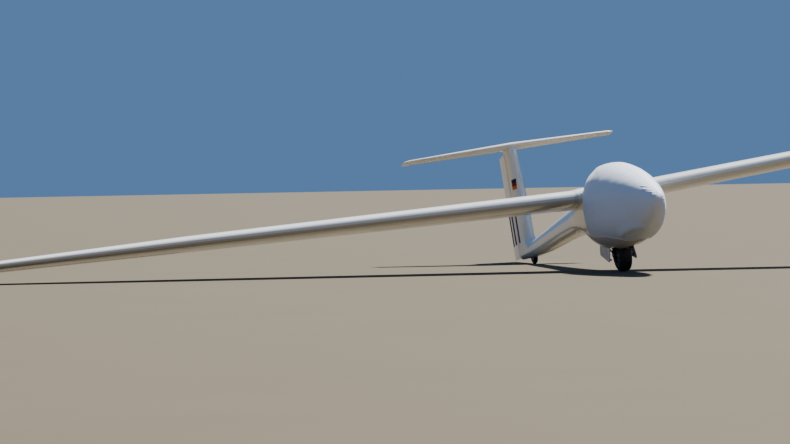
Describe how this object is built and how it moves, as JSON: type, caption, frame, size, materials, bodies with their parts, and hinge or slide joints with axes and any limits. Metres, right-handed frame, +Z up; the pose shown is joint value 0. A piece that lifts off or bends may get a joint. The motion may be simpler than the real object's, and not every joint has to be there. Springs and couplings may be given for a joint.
{
  "type": "single-seat sailplane with a canopy cover",
  "caption": "T-tailed sailplane parked on its wheels and one wing tip, its nose and canopy under a white fabric cover.",
  "frame": {"origin": "the bottom centre of the bounding box, on the ground", "axes": "+X along the span to the aircraft's left wing tip, -Y the way the nose points, +Z up"},
  "size_m": [14.8768, 6.936, 2.016],
  "materials": {
    "gelcoat": "glossy white gelcoat",
    "cloth": "matt coated fabric with soft wrinkles",
    "tread": "matt black",
    "dark_metal": "satin black",
    "bright_metal": "satin"
  },
  "bodies": {
    "airframe": {"fuselage": "gelcoat", "stabilizer": "gelcoat", "canopy_cover": "cloth", "wing_right": "gelcoat", "tip_skid_right": "dark_metal", "gear_door_right": "gelcoat", "wing_left": "gelcoat", "tip_skid_left": "dark_metal", "gear_door_left": "gelcoat", "gear_fork": "dark_metal", "gear_brace": "dark_metal", "main_axle": "bright_metal", "brake_plate": "bright_metal", "tow_hook": "dark_metal", "tail_axle": "bright_metal"},
    "main_wheel": {"main_tyre": "tread", "main_hub": "bright_metal"},
    "tail_wheel": {"tail_tyre": "tread", "tail_hub": "bright_metal"},
    "aileron_left_body": {"aileron_left": "gelcoat"},
    "aileron_right_body": {"aileron_right": "gelcoat"},
    "elevator_body": {"elevator": "gelcoat"},
    "rudder_body": {"rudder": "gelcoat"},
    "airbrake_left_body": {"airbrake_left": "bright_metal"},
    "airbrake_right_body": {"airbrake_right": "bright_metal"}
  },
  "joints": [
    {"name": "main_wheel_spin", "type": "hinge", "parent": "airframe", "child": "main_wheel", "pos_m": [0.11018, -1.70777, 0.17816], "axis": [0.9914, 0, 0.1306], "continuous": true},
    {"name": "tail_wheel_spin", "type": "hinge", "parent": "airframe", "child": "tail_wheel", "pos_m": [0.12067, 2.38818, 0.09854], "axis": [0.9914, 0, 0.1306], "continuous": true},
    {"name": "aileron_left_hinge", "type": "hinge", "parent": "airframe", "child": "aileron_left_body", "pos_m": [4.30295, -0.85603, 1.42727], "axis": [0.9844, -0.0362, 0.1723], "range_deg": [-20, 20]},
    {"name": "aileron_right_hinge", "type": "hinge", "parent": "airframe", "child": "aileron_right_body", "pos_m": [-4.26304, -0.85603, 0.29878], "axis": [0.9954, 0.0362, 0.0885], "range_deg": [-20, 20]},
    {"name": "elevator_hinge", "type": "hinge", "parent": "airframe", "child": "elevator_body", "pos_m": [-1.17707, 3.03258, 1.14453], "axis": [0.9914, 0, 0.1306], "range_deg": [-20, 25]},
    {"name": "rudder_hinge", "type": "hinge", "parent": "airframe", "child": "rudder_body", "pos_m": [0.12475, 2.85335, 0.06754], "axis": [-0.1301, 0.0854, 0.9878], "range_deg": [-30, 30]},
    {"name": "airbrake_left_slide", "type": "slide", "parent": "airframe", "child": "airbrake_left_body", "axis": [-0.1298, 0.1098, 0.9854], "range_m": [0, 0.075]},
    {"name": "airbrake_right_slide", "type": "slide", "parent": "airframe", "child": "airbrake_right_body", "axis": [-0.1298, 0.1098, 0.9854], "range_m": [0, 0.075]}
  ],
  "couplings": [
    {"joint": "aileron_right_hinge", "follows": "aileron_left_hinge", "ratio": -1},
    {"joint": "airbrake_right_slide", "follows": "airbrake_left_slide", "ratio": 1}
  ]
}
